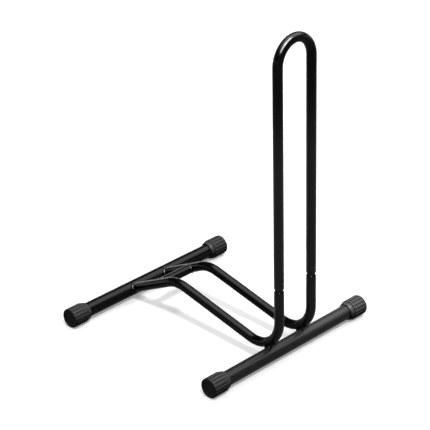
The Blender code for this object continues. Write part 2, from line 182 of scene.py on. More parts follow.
def blend(tree, place, share, colour, other):
    """A colour that goes over to another as share rises to 1."""
    inputs = {"Factor": share, "A": colour, "B": other}
    return node(tree, "ShaderNodeMix", place, inputs, data_type="RGBA").outputs["Result"]


def relief(tree, place, height, depth):
    """The normal of a surface embossed to a depth."""
    inputs = {"Strength": 1, "Distance": depth, "Height": height}
    return node(tree, "ShaderNodeBump", place, inputs).outputs["Normal"]


def new_group(name, inputs, outputs):
    """A node group, the sockets that it is given and the node that it puts its results in."""
    group = bpy.data.node_groups.new(name, "ShaderNodeTree")
    for in_out, sockets in (("INPUT", inputs), ("OUTPUT", outputs)):
        for socket, kind in sockets.items():
            group.interface.new_socket(socket, in_out=in_out, socket_type="NodeSocket" + kind)
    given = node(group, "NodeGroupInput", (-800, 0))
    return group, given.outputs, node(group, "NodeGroupOutput", (400, 0))


def use_group(tree, group, place, inputs):
    """The outputs of a node group that is placed in a material."""
    return node(tree, "ShaderNodeGroup", place, inputs, node_tree=group).outputs


def new_material(name):
    """A material, its node tree and its shader."""
    material = bpy.data.materials.new(name)
    material.use_nodes = True
    return material, material.node_tree, material.node_tree.nodes["Principled BSDF"]


SPECKS_PER_METRE = 420
SPECK_RIM = 0.13
SPECK_CORE = 0.05


def powder_skin():
    """Node group for baked powder: an orange-peel height, slow clouds of gloss and rare dust specks."""
    group, given, put = new_group(
        "powder_skin",
        {"Position": "Vector", "Peel": "Float", "Cloud": "Float"},
        {"Height": "Float", "Gloss": "Float", "Speck": "Float"},
    )
    where = given["Position"]
    specks = node(group, "ShaderNodeTexVoronoi", (-380, -300), {"Vector": where, "Scale": SPECKS_PER_METRE})
    set_inputs(group, put, {
        "Height": noise(group, (-380, 180), where, given["Peel"], detail=3, roughness=0.45),
        "Gloss": noise(group, (-380, -60), where, given["Cloud"], detail=4),
        "Speck": ramp(group, (-160, -300), specks.outputs["Distance"], (SPECK_RIM, 0), (SPECK_CORE, 1)),
    })
    return group


GLAZE_UNDER = 0.03
GLAZE_SIDE = 0.03
GLAZE_TOP = 0.48
GLAZE_FULL = 1.0
UNDERSIDE_TILT = -0.6
UPRIGHT_TILT = 0
FLOWING_TILT = 0.12
FLOWED_TILT = 0.7


def powder_glaze():
    """Node group for powder that flowed out to a fuller glaze on what faced up in the oven, and is dry below.

    Near and Far are the glaze on a piece's sides at the places Start and End along a direction, Along.
    """
    group, given, put = new_group(
        "powder_glaze",
        {
            "Position": "Vector",
            "Facing": "Vector",
            "Along": "Vector",
            "Start": "Float",
            "End": "Float",
            "Near": "Float",
            "Far": "Float",
            "Top": "Float",
        },
        {"Glaze": "Float"},
    )
    place = length_along(group, (-600, -200), given["Position"], given["Along"])
    sides = ramp(group, (-400, -200), place, (given["Start"], given["Near"]), (given["End"], given["Far"]))
    tilt = height_part(group, (-600, 200), given["Facing"])
    low = ramp(group, (-200, -100), tilt, (UNDERSIDE_TILT, GLAZE_UNDER), (UPRIGHT_TILT, sides))
    set_inputs(group, put, {
        "Glaze": ramp(group, (0, 0), tilt, (FLOWING_TILT, low), (FLOWED_TILT, given["Top"])),
    })
    return group


def even_glaze(sides, top=GLAZE_TOP):
    """The glaze group's values where the sides are the same all along a piece."""
    return {"Start": 0, "End": 1, "Near": sides, "Far": sides, "Top": top}


GRIT_PER_METRE = 700
GRIT_THIN = (0.35, 0.6)
GRIT_THICK = (0.65, 1)
FILM_THINS_AT = FRONT_AXIS_X - 0.10
FILM_IS_FULL_AT = FRONT_AXIS_X + 0.15


def dust_and_top_light():
    """Node group for a lighter film on whatever faces up: fine dust, and painted top light. Low and High are
    the upward tilts of none and full.

    The film is strongest at the stand's front left corner and thins to a share, Least, a quarter metre from
    there.
    """
    group, given, put = new_group(
        "dust_and_top_light",
        {"Position": "Vector", "Facing": "Vector", "Low": "Float", "High": "Float", "Least": "Float"},
        {"Amount": "Float"},
    )
    tilt = height_part(group, (-600, 200), given["Facing"])
    rise = ramp(group, (-400, 200), tilt, (given["Low"], 0), (given["High"], 1))
    grit = noise(group, (-600, 0), given["Position"], GRIT_PER_METRE, detail=3)
    patchy = ramp(group, (-400, 0), grit, GRIT_THIN, GRIT_THICK, easing="LINEAR")
    # the film greys what faces up: fine dust, and painted top light
    facing_up_film = combined(group, (-200, 100), "MULTIPLY", rise, patchy)
    # the film is stronger towards the stand's front left corner
    corner = length_along(group, (-600, -200), given["Position"], AXIS_X + AXIS_Y)
    corner_share = ramp(group, (-400, -200), corner, (FILM_THINS_AT, given["Least"]), (FILM_IS_FULL_AT, 1))
    set_inputs(group, put, {"Amount": combined(group, (0, 0), "MULTIPLY", facing_up_film, corner_share)})
    return group


CAP_RUB_EDGE = 0.0008


def between_caps():
    """Node group for a mask that is 1 on the open stretch of a cross tube and 0 where the caps cover it."""
    group, given, put = new_group("between_caps", {"Position": "Vector"}, {"Mask": "Float"})
    unsigned = combined_vectors(group, (-600, 0), "ABSOLUTE", given["Position"])
    off_middle = length_along(group, (-400, 0), unsigned, AXIS_Y)
    rubbed, open_paint = (CAP_MOUTH_Y, 0), (CAP_MOUTH_Y - CAP_RUB_EDGE, 1)
    set_inputs(group, put, {"Mask": ramp(group, (-200, 0), off_middle, rubbed, open_paint, easing="LINEAR")})
    return group


POWDER_SKIN = powder_skin()
POWDER_GLAZE = powder_glaze()
DUST_AND_TOP_LIGHT = dust_and_top_light()
BETWEEN_CAPS = between_caps()
PAINT_BLACK = (0.0018, 0.0018, 0.0019, 1)
PAINT_DUSTED = (0.0110, 0.0110, 0.0110, 1)
PAINT_SHINE = 0.009
GLAZE_ROUGHNESS = 0.17
PEEL_PER_METRE = 520
PEEL_DEPTH = 0.00001
TUBE_GLOSS = (0.16, 0.21)
CLOUD_LOW = 0.3
CLOUD_HIGH = 0.7


def cloudy(tree, place, clouds, gloss):
    """A roughness that drifts with the noise between the two of gloss."""
    return ramp(tree, place, clouds, (CLOUD_LOW, gloss[0]), (CLOUD_HIGH, gloss[1]), easing="LINEAR")


def powder_coat(name, cloud, glaze, peel=PEEL_PER_METRE, gloss=TUBE_GLOSS):
    """Semi-gloss black powder coat. gloss is its (lowest, highest) roughness, peel and cloud are per metre.

    glaze holds the values for the glaze group, by the names of its inputs.
    """
    material, tree, shader = new_material(name)
    where = node(tree, "ShaderNodeTexCoord", (-900, 0)).outputs
    skin = use_group(tree, POWDER_SKIN, (-700, 100), {
        "Position": where["Object"],
        "Peel": peel,
        "Cloud": cloud,
    })
    flowed = use_group(tree, POWDER_GLAZE, (-420, -500), {
        "Position": where["Object"],
        "Facing": where["Normal"],
        **glaze,
    })
    set_inputs(tree, shader, {
        "Base Color": blend(tree, (-420, 200), skin["Speck"], PAINT_BLACK, PAINT_DUSTED),
        "Roughness": cloudy(tree, (-420, -60), skin["Gloss"], gloss),
        "Specular IOR Level": PAINT_SHINE,
        "Normal": relief(tree, (-420, -320), skin["Height"], PEEL_DEPTH),
        "Coat Weight": flowed["Glaze"],
        "Coat Roughness": GLAZE_ROUGHNESS,
    })
    return material


def cross_tube_paint(name, sides):
    """The powder coat, rubbed dull where the caps slip over it. sides is the glaze on its sides."""
    material = powder_coat(name, cloud=24, glaze=even_glaze(sides))
    tree = material.node_tree
    shader = tree.nodes["Principled BSDF"]
    glaze = shader.inputs["Coat Weight"].links[0].from_socket
    where = node(tree, "ShaderNodeTexCoord", (-900, 900)).outputs["Object"]
    mask = use_group(tree, BETWEEN_CAPS, (-700, 900), {"Position": where})["Mask"]
    set_inputs(tree, shader, {"Coat Weight": combined(tree, (-200, 900), "MULTIPLY", mask, glaze)})
    return material


FRONT_GLAZE_SIDE = 0.14
# grey of the film on the tube's tops: dust, and painted top light
DUST_AND_LIGHT_GREY = (0.064, 0.064, 0.064, 1)


def lay_dust_and_light(material):
    """Lays a film over a cross tube's paint where it faces up, fine dust and painted top light, which the
    caps keep off its ends.
    """
    tree = material.node_tree
    shader = tree.nodes["Principled BSDF"]
    clean = shader.inputs["Base Color"].links[0].from_socket
    where = node(tree, "ShaderNodeTexCoord", (-900, 600)).outputs
    dust = use_group(tree, DUST_AND_TOP_LIGHT, (-700, 600), {
        "Position": where["Object"],
        "Facing": where["Normal"],
        "Low": 0.30,
        "High": 0.70,
        "Least": 0.45,
    })
    mask = use_group(tree, BETWEEN_CAPS, (-700, 800), {"Position": where["Object"]})["Mask"]
    # dust and painted top light, kept off the ends that the caps cover
    dust_and_light_film = combined(tree, (-340, 700), "MULTIPLY", dust["Amount"], mask)
    set_inputs(tree, shader, {"Base Color": blend(tree, (-160, 500), dust_and_light_film, clean, DUST_AND_LIGHT_GREY)})


front_tube_paint = cross_tube_paint("front_tube_paint", FRONT_GLAZE_SIDE)
lay_dust_and_light(front_tube_paint)
rear_tube_paint = cross_tube_paint("rear_tube_paint", GLAZE_SIDE)
for name, x, paint in (
    ("front_cross_tube", FRONT_AXIS_X, front_tube_paint),
    ("rear_cross_tube", REAR_AXIS_X, rear_tube_paint),
):
    tube = piece(name + "_painted", cross_tube_mesh(name + "_painted", x), paint)
    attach(tube, "base")
    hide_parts(name)

# Rails
# One bent steel tube on each side, coped onto the rear tube. It climbs to a crest, slopes down to the front
# tube, turns up in a J bend and is swaged at its top to a neck and a spigot for the hoop.
hoop_low, hoop_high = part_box("hoop")
RAIL_RADIUS = (hoop_high.x - hoop_low.x) / 2
UPRIGHT_X = (hoop_high.x + hoop_low.x) / 2
HALF_SPACING = hoop_high.y - RAIL_RADIUS
RAIL_WALL = 0.002
CREST_AHEAD_OF_REAR = 0.1505
CREST_ABOVE_CROSS_TUBE = 0.074
CREST_BEND = 0.078
FOOT_BEND = 0.070
FIT_GAP = 0.0003
BEND_STEP = math.radians(3)
SEAT_HEIGHT = hoop_low.z - FIT_GAP
SEAT_EDGE = 0.0001
NECK_RADIUS = 0.0089
NECK_LENGTH = 0.0026
SWAGE_LENGTH = 0.0046
SWAGE_LOW = SEAT_HEIGHT - NECK_LENGTH - SWAGE_LENGTH
SWAGE_STEPS = 12
SPIGOT_RADIUS = 0.0085
SPIGOT_BORE = 0.0056
SPIGOT_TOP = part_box("left_rail")[1].z
SPIGOT_TIP_ROUND = 0.0015
SPIGOT_TIP_STEPS = 6
SPIGOT_FLAT_FROM_AXIS = 0.0065
SPIGOT_FLAT_LOW = 0.2068
FLAT_STEP = 0.0001
ROLL_MARK_BELOW_SEAT = 0.0103
ROLL_MARK_WIDTH = 0.005
ROLL_MARK_DEPTH = 0.00025
ROLL_MARK_STEPS = 16
RAIL_SIDES = 72
UPRIGHT_GLAZE_SIDE = 0.14
SIDES = {"left": 1, "right": -1}


def arc(centre, radius, start, end):
    """Points round an arc in the XZ plane, both ends included."""
    steps = max(2, math.ceil(abs(end - start) / BEND_STEP))
    turns = [start + (end - start) * step / steps for step in range(steps + 1)]
    return [centre + radius * Vector((math.cos(turn), 0, math.sin(turn))) for turn in turns]


rail_start = Vector((REAR_AXIS_X, 0, CROSS_AXIS_Z))
crest_corner = rail_start + Vector((CREST_AHEAD_OF_REAR, 0, CREST_ABOVE_CROSS_TUBE))
foot_behind = UPRIGHT_X - FOOT_BEND - FRONT_AXIS_X
foot_rise = math.sqrt((FOOT_BEND + RAIL_RADIUS + CROSS_RADIUS + FIT_GAP) ** 2 - foot_behind**2)
foot_centre = Vector((UPRIGHT_X - FOOT_BEND, 0, CROSS_AXIS_Z + foot_rise))
rise = math.atan2(CREST_ABOVE_CROSS_TUBE, CREST_AHEAD_OF_REAR)
to_foot = foot_centre - crest_corner
fall = math.atan2(to_foot.z, to_foot.x) - math.asin(FOOT_BEND / to_foot.length)
lean = rise - (rise - fall) / 2 - math.pi / 2
crest_reach = CREST_BEND / math.cos((rise - fall) / 2)
crest_centre = crest_corner + crest_reach * Vector((math.cos(lean), 0, math.sin(lean)))
crest_arc = arc(crest_centre, CREST_BEND, rise + math.pi / 2, fall + math.pi / 2)
foot_arc = arc(foot_centre, FOOT_BEND, fall - math.pi / 2, 0)
climb = Vector((math.cos(rise), 0, math.sin(rise)))


def eased(share):
    """A smooth S between 0 and 1."""
    return share * share * (3 - 2 * share)


def upright_profile():
    """(height, radius) up the outside of the swaged top: rolled mark, swage, neck, seat and spigot."""
    mark = SEAT_HEIGHT - ROLL_MARK_BELOW_SEAT
    profile = []
    for step in range(ROLL_MARK_STEPS + 1):
        along = step / ROLL_MARK_STEPS
        dip = ROLL_MARK_DEPTH * (1 - math.cos(2 * math.pi * along)) / 2
        profile.append((mark + ROLL_MARK_WIDTH * (along - 0.5), RAIL_RADIUS - dip))
    for step in range(1, SWAGE_STEPS + 1):
        along = step / SWAGE_STEPS
        radius = RAIL_RADIUS + (NECK_RADIUS - RAIL_RADIUS) * eased(along)
        profile.append((SWAGE_LOW + SWAGE_LENGTH * along, radius))
    profile += [
        (SEAT_HEIGHT - 3 * SEAT_EDGE, NECK_RADIUS),
        (SEAT_HEIGHT - SEAT_EDGE, NECK_RADIUS - SEAT_EDGE),
        (SEAT_HEIGHT, SPIGOT_RADIUS),
        (SPIGOT_FLAT_LOW - FLAT_STEP, SPIGOT_RADIUS),
        (SPIGOT_FLAT_LOW, SPIGOT_RADIUS),
    ]
    for step in range(SPIGOT_TIP_STEPS + 1):
        turn = math.pi / 2 * step / SPIGOT_TIP_STEPS
        drop = SPIGOT_TIP_ROUND * (1 - math.sin(turn))
        profile.append((SPIGOT_TOP - drop, SPIGOT_RADIUS - SPIGOT_TIP_ROUND / 2 * (1 - math.cos(turn))))
    return profile


def coped_ring(work, y, radius):
    """The rail's sawn end, where a line at each turn of the tube meets the rear tube's surface."""
    up = AXIS_Y.cross(climb).normalized()
    ring = []
    for turn in turns_round(RAIL_SIDES):
        along = math.sqrt(CROSS_RADIUS**2 - (radius * math.sin(turn)) ** 2)
        spoke = radius * (math.cos(turn) * AXIS_Y + math.sin(turn) * up)
        ring.append(work.verts.new(rail_start + y * AXIS_Y + along * climb + spoke))
    return ring


def rail_mesh(name, y):
    """A rail's wall. Its lower end is coped to the rear tube, and the spigot's front has a flat."""
    bore = RAIL_RADIUS - RAIL_WALL
    bent = [rail_start + 2 * CROSS_RADIUS * climb] + crest_arc + foot_arc
    bore_profile = [
        (SWAGE_LOW, bore),
        (SEAT_HEIGHT, SPIGOT_BORE),
        (SPIGOT_TOP - SAWN_EDGE, SPIGOT_BORE),
        (SPIGOT_TOP, SPIGOT_BORE + SAWN_EDGE),
    ]
    work = bmesh.new()
    skins = []
    for tube_radius, profile in ((RAIL_RADIUS, upright_profile()), (bore, bore_profile)):
        line = [(point + y * AXIS_Y, tube_radius) for point in bent]
        line += [(Vector((UPRIGHT_X, y, height)), radius) for height, radius in profile]
        skins.append([coped_ring(work, y, tube_radius)] + rings_along(work, line, AXIS_Y, RAIL_SIDES))
    outer, inner = skins
    join_rings(work, outer + inner[::-1] + outer[:1])
    for vert in work.verts:
        if vert.co.z > SPIGOT_FLAT_LOW - FLAT_STEP / 2:
            vert.co.x = min(vert.co.x, UPRIGHT_X + SPIGOT_FLAT_FROM_AXIS)
    return finished_mesh(name, work)


rail_paint = powder_coat("rail_paint", cloud=30, glaze={
    "Along": AXIS_X,
    "Start": UPRIGHT_X - 3 * RAIL_RADIUS,
    "End": UPRIGHT_X - RAIL_RADIUS,
    "Near": GLAZE_SIDE,
    "Far": UPRIGHT_GLAZE_SIDE,
    "Top": GLAZE_TOP,
})
for side, sign in SIDES.items():
    name = side + "_rail_painted"
    rail = piece(name, rail_mesh(name, sign * HALF_SPACING), rail_paint)
    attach(rail, "base")
    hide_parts(side + "_rail")

# Wheel stop
# A short length of the rails' tube between their rising ends, where the rear of the tyre rests.
# Both ends are coped round the rails and welded.
stop_low, stop_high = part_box("wheel_stop_bar")
STOP_RADIUS = (stop_high.z - stop_low.z) / 2
STOP_TIP_TRIM = HALF_SPACING - stop_high.y
STOP_WALL = 0.002
stop_axis = Vector(((stop_low.x + stop_high.x) / 2, 0, (stop_low.z + stop_high.z) / 2))


def stop_bar_mesh(name):
    """The bar's wall, with each end ring following the rail that it meets."""
    work = bmesh.new()
    rings = []
    for radius, ends in ((STOP_RADIUS, (-1, 1)), (STOP_RADIUS - STOP_WALL, (1, -1))):
        for end in ends:
            ring = []
            for turn in turns_round(RAIL_SIDES):
                spoke = radius * (math.cos(turn) * AXIS_X + math.sin(turn) * AXIS_Z)
                across = (spoke - spoke.dot(climb) * climb).length
                short = max(math.sqrt(RAIL_RADIUS**2 - min(across, RAIL_RADIUS) ** 2), STOP_TIP_TRIM)
                ring.append(work.verts.new(stop_axis + spoke + end * (HALF_SPACING - short) * AXIS_Y))
            rings.append(ring)
    join_rings(work, rings + rings[:1])
    return finished_mesh(name, work)


stop_bar = piece("wheel_stop_bar_painted", stop_bar_mesh("wheel_stop_bar_painted"), rail_paint)
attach(stop_bar, "base")
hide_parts("wheel_stop_bar")

# Welds
# Six hand-run beads hold the frame together: each rail to the rear tube, to the front tube under its J bend,
# and to the wheel stop. They are steel, laid in overlapping ripples, and painted over with the tubes.
BEAD = 0.0030
STOP_BEAD = 0.0025
BEAD_CROWN = 0.0007
BEAD_CREASE = 60
RIPPLE_PITCH = 0.0021
RIPPLE_HEIGHT = 0.00030
RIPPLE_BOW = 0.45
RIPPLE_GLOSS = (0.18, 0.30)
BEAD_STATIONS = 288
BEAD_SECTION = 11
FRONT_BEAD_GAP = 0.0034
FRONT_ROOT_GAP = 0.0006
KINK_ROUND = 0.003
HALVINGS = 30


def bead_mesh(name, stations):
    """A closed bead. Each station is (toe on one tube, root, toe on the other), in order round the joint."""
    lengths = [0.0]
    for here, there in zip(stations, stations[1:] + stations[:1]):
        lengths.append(lengths[-1] + (there[1] - here[1]).length)
    ripples = round(lengths[-1] / RIPPLE_PITCH)
    work = bmesh.new()
    rings = []
    for (toe, root, other_toe), length in zip(stations, lengths):
        outward = ((toe + other_toe) / 2 - root).normalized()
        ring = [work.verts.new(root)]
        for step in range(BEAD_SECTION):
            share = step / (BEAD_SECTION - 1)
            bow = 4 * share * (1 - share)
            phase = (ripples * length / lengths[-1] + RIPPLE_BOW * bow) % 1
            ripple = RIPPLE_HEIGHT * (1 - (2 * phase - 1) ** 2) * bow**0.5
            ring.append(work.verts.new(toe.lerp(other_toe, share) + (BEAD_CROWN * bow + ripple) * outward))
        rings.append(ring)
    join_rings(work, rings + rings[:1])
    return finished_mesh(name, work, crease=BEAD_CREASE)


def over_tube(root, run, centre, axis, radius, other_centre, reach):
    """Where a bead's toe lands: from the root, square to the joint's run, over one tube and off the other."""
    spoke = root - centre
    spoke -= spoke.dot(axis) * axis
    heading = run.cross(spoke).normalized()
    if heading.dot(root - other_centre) < 0:
        heading = -heading
    landed = root + reach * heading
    along = (landed - centre).dot(axis) * axis
    return centre + along + radius * (landed - centre - along).normalized()


def joint_stations(roots, first, second, reach):
    """Bead stations round a run of roots. first and second are each a tube's (centre, axis, radius)."""
    stations = []
    for index, root in enumerate(roots):
        run = roots[(index + 1) % len(roots)] - roots[index - 1]
        toes = []
        for tube, other in ((first, second), (second, first)):
            nearest = other[0] + (root - other[0]).dot(other[1]) * other[1]
            toes.append(over_tube(root, run, *tube, nearest, reach))
        stations.append((toes[0], root, toes[1]))
    return stations


def rear_weld_mesh(name, y):
    """Round the rail's coped end on the rear tube."""
    start = rail_start + y * AXIS_Y
    up = AXIS_Y.cross(climb)
    roots = []
    for turn in turns_round(BEAD_STATIONS):
        along = math.sqrt(CROSS_RADIUS**2 - (RAIL_RADIUS * math.sin(turn)) ** 2)
        spoke = RAIL_RADIUS * (math.cos(turn) * AXIS_Y + math.sin(turn) * up)
        roots.append(start + along * climb + spoke)
    rail_tube = (start, climb, RAIL_RADIUS)
    return bead_mesh(name, joint_stations(roots, rail_tube, (start, AXIS_Y, CROSS_RADIUS), BEAD))


def stop_weld_mesh(name, sign):
    """Round the wheel stop's coped end on a rail. The bead rounds the kinks where the equal tubes meet."""
    start = stop_axis + sign * HALF_SPACING * AXIS_Y
    roots = []
    for turn in turns_round(BEAD_STATIONS):
        spoke = STOP_RADIUS * (math.cos(turn) * AXIS_X + math.sin(turn) * AXIS_Z)
        short = math.hypot(spoke.dot(climb), KINK_ROUND)
        roots.append(start + spoke - sign * short * AXIS_Y)
    bar_tube = (start, AXIS_Y, STOP_RADIUS)
    return bead_mesh(name, joint_stations(roots, bar_tube, (start, climb, RAIL_RADIUS), STOP_BEAD))


def front_weld_mesh(name, y):
    """Round the spot where the J bend rests on the front tube, out to where their gap is a bead high."""
    tube_centre = Vector((FRONT_AXIS_X, y, CROSS_AXIS_Z))
    bend_centre = foot_centre + y * AXIS_Y
    across = (bend_centre - tube_centre).normalized()
    forward = AXIS_Y.cross(across)

    def on_tube(sideways, ahead):
        turn = ahead / CROSS_RADIUS
        spoke = CROSS_RADIUS * (math.cos(turn) * across + math.sin(turn) * forward)
        return tube_centre + spoke + sideways * AXIS_Y

    def on_bend(sideways, ahead):
        turn = ahead / (FOOT_BEND + RAIL_RADIUS)
        tilt = sideways / RAIL_RADIUS
        outward = math.sin(turn) * forward - math.cos(turn) * across
        reach = FOOT_BEND + RAIL_RADIUS * math.cos(tilt)
        return bend_centre + reach * outward + RAIL_RADIUS * math.sin(tilt) * AXIS_Y

    def spots_where(gap, turn):
        near, far = 0.0, 2 * RAIL_RADIUS
        for _ in range(HALVINGS):
            middle = (near + far) / 2
            place = (middle * math.cos(turn), middle * math.sin(turn))
            if (on_tube(*place) - on_bend(*place)).length < gap:
                near = middle
            else:
                far = middle
        place = (near * math.cos(turn), near * math.sin(turn))
        return on_tube(*place), on_bend(*place)

    stations = []
    for turn in turns_round(BEAD_STATIONS):
        tube_toe, bend_toe = spots_where(FRONT_BEAD_GAP, turn)
        tube_root, bend_root = spots_where(FRONT_ROOT_GAP, turn)
        stations.append((tube_toe, (tube_root + bend_root) / 2, bend_toe))
    return bead_mesh(name, stations)


weld_glaze = even_glaze(GLAZE_SIDE, top=GLAZE_FULL)
weld_paint = powder_coat("weld_paint", peel=900, cloud=90, gloss=RIPPLE_GLOSS, glaze=weld_glaze)
for side, sign in SIDES.items():
    y = sign * HALF_SPACING
    for node_name, mesh in (
        ("weld_" + side + "_rail_rear", rear_weld_mesh("rear_bead_" + side, y)),
        ("weld_" + side + "_rail_front", front_weld_mesh("front_bead_" + side, y)),
        ("weld_" + side + "_stop_bar", stop_weld_mesh("stop_bead_" + side, sign)),
    ):
        bead = piece(node_name + "_painted", mesh, weld_paint)
        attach(bead, "base")
        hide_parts(node_name)

# End caps
# Four alike feet, moulded in satin black plastic and pushed over the ends of the cross tubes. Soft ribs run
# along the barrel, a thin groove parts it from a smooth collar, and the closed end is a shallow dish.
cap_low, cap_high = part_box("front_left_cap")
CAP_RADIUS = (cap_high.z - cap_low.z) / 2
CAP_LENGTH = cap_high.y - cap_low.y
CAP_FLOOR = 0.005
CAP_FLOOR_ROUND = 0.001
CAP_EDGE_ROUND = 0.0025
CAP_EDGE_STEPS = 10
CAP_RIM = 0.0020
CAP_DISH = 0.0012
CAP_DISH_STEPS = 8
CAP_DISH_MIDDLE = 0.001
CAP_BARREL_END = 0.0395
CAP_BARREL_STEPS = 12
CAP_GROOVE_WIDTH = 0.0015
CAP_GROOVE_RADIUS = 0.0206
CAP_GROOVE_ROUND = 0.0001
CAP_COLLAR_RADIUS = 0.0213
CAP_COLLAR_STEPS = 16
CAP_MOUTH_RADIUS = 0.0190
CAP_MOUTH_EDGE = 0.0005
CAP_MOUTH_STEPS = 8
CAP_MOUTH_GAP = 0.0018
CAP_MOUTH_DEPTH = 0.0040
CAP_COLLAR_BULGE = 0.0003
CAP_CREASE = 50
RIB_COUNT = 16
FLUTE_DEPTH = 0.0008
FLUTE_RADIUS = 0.0034
FLUTE_BLEND = 0.00025
COLUMNS_PER_RIB = 14


def cap_profile():
    """(radius, depth from the end face, ribbed) from the bore's floor, out over the collar, to the dish."""
    bore = CROSS_RADIUS + FIT_GAP
    mouth = CROSS_RADIUS + CAP_MOUTH_GAP
    groove_far = CAP_BARREL_END + CAP_GROOVE_WIDTH
    profile = [
        (bore - CAP_FLOOR_ROUND, CAP_FLOOR, False),
        (bore, CAP_FLOOR + CAP_FLOOR_ROUND, False),
        (bore, CAP_LENGTH - CAP_MOUTH_DEPTH - (mouth - bore), False),
        (mouth, CAP_LENGTH - CAP_MOUTH_DEPTH, False),
        (mouth, CAP_LENGTH - CAP_MOUTH_EDGE, False),
    ]
    middle = (mouth + CAP_MOUTH_RADIUS) / 2
    wide = (CAP_MOUTH_RADIUS - mouth) / 2
    for step in range(CAP_MOUTH_STEPS + 1):
        turn = math.pi * step / CAP_MOUTH_STEPS
        depth = CAP_LENGTH - CAP_MOUTH_EDGE * (1 - math.sin(turn))
        profile.append((middle - wide * math.cos(turn), depth, False))
    collar = CAP_LENGTH - CAP_MOUTH_EDGE - groove_far
    drop = CAP_COLLAR_RADIUS - CAP_MOUTH_RADIUS
    crown = (collar**2 + drop**2) / (2 * drop)
    for step in range(1, CAP_COLLAR_STEPS + 1):
        along = collar * (1 - step / CAP_COLLAR_STEPS)
        radius = CAP_COLLAR_RADIUS - crown + math.sqrt(crown**2 - along**2)
        profile.append((radius, groove_far + along, False))
    profile += [
        (CAP_COLLAR_RADIUS - 2 * CAP_GROOVE_ROUND, groove_far - CAP_GROOVE_ROUND, False),
        (CAP_GROOVE_RADIUS, groove_far - 3 * CAP_GROOVE_ROUND, False),
        (CAP_GROOVE_RADIUS, CAP_BARREL_END + 5 * CAP_GROOVE_ROUND, True),
        (CAP_GROOVE_RADIUS + 4 * CAP_GROOVE_ROUND, CAP_BARREL_END + 2 * CAP_GROOVE_ROUND, True),
        (CAP_RADIUS - 4 * CAP_GROOVE_ROUND, CAP_BARREL_END - CAP_GROOVE_ROUND, True),
        (CAP_RADIUS, CAP_BARREL_END - 6 * CAP_GROOVE_ROUND, True),
    ]
    for step in range(1, CAP_BARREL_STEPS):
        along = step / CAP_BARREL_STEPS
        profile.append((CAP_RADIUS, CAP_BARREL_END + (CAP_EDGE_ROUND - CAP_BARREL_END) * along, True))
    for step in range(CAP_EDGE_STEPS + 1):
        turn = math.pi / 2 * step / CAP_EDGE_STEPS
        inset = CAP_EDGE_ROUND * (1 - math.cos(turn))
        profile.append((CAP_RADIUS - inset, CAP_EDGE_ROUND * (1 - math.sin(turn)), True))
    rim = CAP_RADIUS - CAP_EDGE_ROUND - CAP_RIM
    for step in range(CAP_DISH_STEPS + 1):
        along = step / CAP_DISH_STEPS
        profile.append((rim - 2 * CAP_DISH * along, CAP_DISH * eased(along), False))
    profile.append((CAP_DISH_MIDDLE, CAP_DISH, False))
    return profile


def fluted(radius, turn):
    """The barrel's radius at a turn, where a round flute softly cuts in between two ribs."""
    pitch = 2 * math.pi / RIB_COUNT
    off_middle = (turn + pitch / 2) % pitch - pitch / 2
    out = CAP_RADIUS - FLUTE_DEPTH + FLUTE_RADIUS
    sideways = out * math.sin(off_middle)
    if abs(sideways) >= FLUTE_RADIUS:
        return radius
    cut = out * math.cos(off_middle) - math.sqrt(FLUTE_RADIUS**2 - sideways**2)
    return (radius + cut - math.sqrt((radius - cut) ** 2 + FLUTE_BLEND**2)) / 2


def cap_mesh(name):
    """A cap in its own frame: the end face looks along -Z, and the barrel runs up +Z."""
    columns = RIB_COUNT * COLUMNS_PER_RIB
    work = bmesh.new()
    rings = []
    for radius, depth, ribbed in cap_profile():
        ring = []
        for step in range(columns):
            turn = 2 * math.pi * (step / columns + 0.5 / RIB_COUNT)
            reach = min(fluted(radius, turn), radius) if ribbed else radius
            ring.append(work.verts.new((reach * math.sin(turn), reach * math.cos(turn), depth)))
        rings.append(ring)
    join_rings(work, rings)
    for ring in (rings[0], rings[-1]):
        work.faces.new(ring)
    return finished_mesh(name, work, crease=CAP_CREASE)


def proud_of_cap(tree, where):
    """How far the surface stands out: 1 on the ribs and the collar's crown, 0 in flutes and groove.

    It places the caps' painted highlight on what stands out and painted shade in what lies low.
    """
    collar_run = CAP_LENGTH - CAP_BARREL_END - CAP_GROOVE_WIDTH
    collar_slope = (CAP_COLLAR_RADIUS - CAP_MOUTH_RADIUS) / collar_run
    mouth_outermost = CAP_MOUTH_RADIUS + CAP_COLLAR_BULGE
    at_mouth = (cap_low.y, mouth_outermost)
    at_barrel = (cap_low.y + (CAP_RADIUS - mouth_outermost) / collar_slope, CAP_RADIUS)
    stand_middle = Vector(((FRONT_AXIS_X + REAR_AXIS_X) / 2, 0, CROSS_AXIS_Z))
    middle_to_axis = Vector(((FRONT_AXIS_X - REAR_AXIS_X) / 2, 0, 0))
    off_middle = combined_vectors(tree, (-1500, 700), "SUBTRACT", where, stand_middle)
    unsigned = combined_vectors(tree, (-1340, 700), "ABSOLUTE", off_middle)
    off_axis = combined_vectors(tree, (-1180, 700), "SUBTRACT", unsigned, middle_to_axis)
    spoke = combined_vectors(tree, (-1020, 700), "MULTIPLY", off_axis, AXIS_X + AXIS_Z)
    radius = combined_vectors(tree, (-860, 700), "LENGTH", spoke, result="Value")
    along = length_along(tree, (-1020, 900), off_axis, AXIS_Y)
    outermost = ramp(tree, (-860, 900), along, at_mouth, at_barrel, easing="LINEAR")
    below = combined(tree, (-700, 800), "SUBTRACT", outermost, radius)
    return ramp(tree, (-540, 800), below, (FLUTE_DEPTH, 0), (0, 1))


GRAIN_PER_METRE = 2600
SHINE_PER_METRE = 110
GRAIN_DEPTH = 0.00003
PLASTIC_BLACK = (0.0015, 0.0015, 0.0015, 1)
PLASTIC_WORN = (0.0050, 0.0050, 0.0050, 1)
# grey of the caps' film: dust, painted top light and painted highlight on the ribs
PLASTIC_DUST_AND_LIGHT = (0.12, 0.12, 0.12, 1)
PLASTIC_GLOSS = (0.30, 0.40)
# share of that film left in flutes and groove, so that they read as painted shade
FLUTE_SHADE_SHARE = 0.35
SHEEN_CLEAN = 0.05
SHEEN_AT_FULL_FILM = 0.45
SHEEN_ROUGHNESS = 0.38


